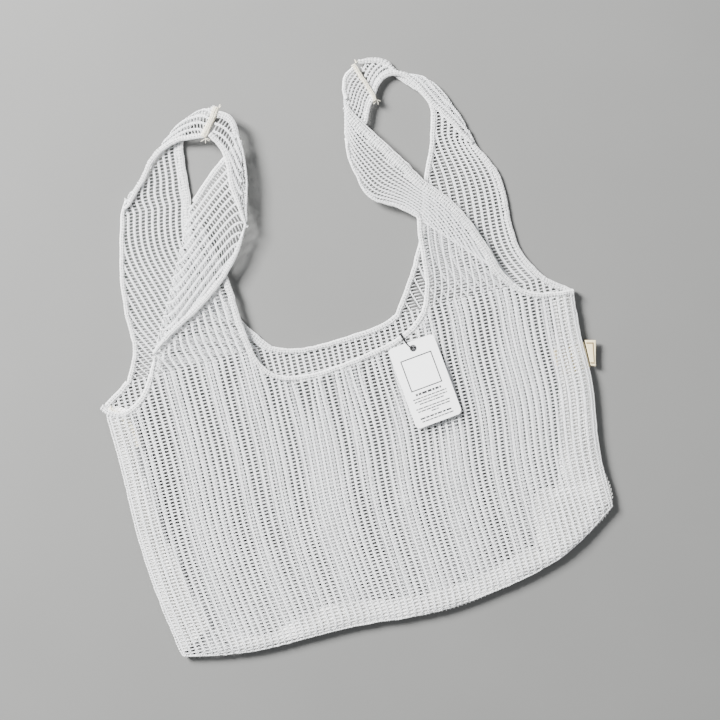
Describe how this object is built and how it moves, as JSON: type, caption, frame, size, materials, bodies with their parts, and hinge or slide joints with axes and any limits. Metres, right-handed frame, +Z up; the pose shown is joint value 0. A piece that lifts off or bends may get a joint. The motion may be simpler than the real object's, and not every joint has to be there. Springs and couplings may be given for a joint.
{
  "type": "mesh produce bag",
  "caption": "Vest-shaped cotton net bag lying flat, with two twisted shoulder straps, rolled hems, a side label and a hang tag on a string.",
  "frame": {"origin": "middle of the bag's outline, on the table it lies on", "axes": "+Y from the bottom seam to the strap tops, +X across the bag to the wearer's left, +Z up from the table"},
  "size_m": [0.5199, 0.582, 0.017],
  "materials": {
    "net": "white cotton leno net, matt",
    "hem": "white cotton, rolled and overlocked",
    "seam_allowance": "white cotton, two layers of net",
    "overlock": "cream cotton overlock thread",
    "woven_label": "cream woven cotton tape",
    "card": "uncoated white card, printed in dark grey",
    "eyelet": "black",
    "string": "black waxed cotton"
  },
  "bodies": {
    "bag": {"back_panel": "net", "front_panel": "net", "back_neck_hem": "hem", "back_left_armhole_hem": "hem", "back_right_armhole_hem": "hem", "front_neck_hem": "hem", "front_left_armhole_hem": "hem", "front_right_armhole_hem": "hem", "left_side_seam": "seam_allowance", "right_side_seam": "seam_allowance", "bottom_seam": "seam_allowance", "side_label_tail": "woven_label", "tag_string": "string"},
    "left_handle": {"left_back_strap": "net", "left_front_strap": "net", "left_back_strap_arm_hem": "hem", "left_back_strap_neck_hem": "hem", "left_front_strap_arm_hem": "hem", "left_front_strap_neck_hem": "hem", "left_shoulder_seam": "overlock"},
    "right_handle": {"right_back_strap": "net", "right_front_strap": "net", "right_back_strap_arm_hem": "hem", "right_back_strap_neck_hem": "hem", "right_front_strap_arm_hem": "hem", "right_front_strap_neck_hem": "hem", "right_shoulder_seam": "overlock"},
    "hang_tag": {"hang_tag": "card", "tag_eyelet": "eyelet"},
    "label_flap": {"side_label_flap": "woven_label"}
  },
  "joints": [
    {"name": "left_handle_lift", "type": "hinge", "parent": "bag", "child": "left_handle", "pos_m": [-0.15, 0.036, 0.011], "axis": [1, 0, 0], "range_deg": [0, 135]},
    {"name": "right_handle_lift", "type": "hinge", "parent": "bag", "child": "right_handle", "pos_m": [0.14, 0.036, 0.011], "axis": [1, 0, 0], "range_deg": [0, 135]},
    {"name": "tag_swing", "type": "hinge", "parent": "bag", "child": "hang_tag", "pos_m": [0.0705, -0.0149, 0.0134], "axis": [0, 0, 1], "range_deg": [-30, 60]},
    {"name": "label_bend", "type": "hinge", "parent": "bag", "child": "label_flap", "pos_m": [0.2482, -0.066, 0.0055], "axis": [0, -1, 0], "range_deg": [0, 90]}
  ]
}
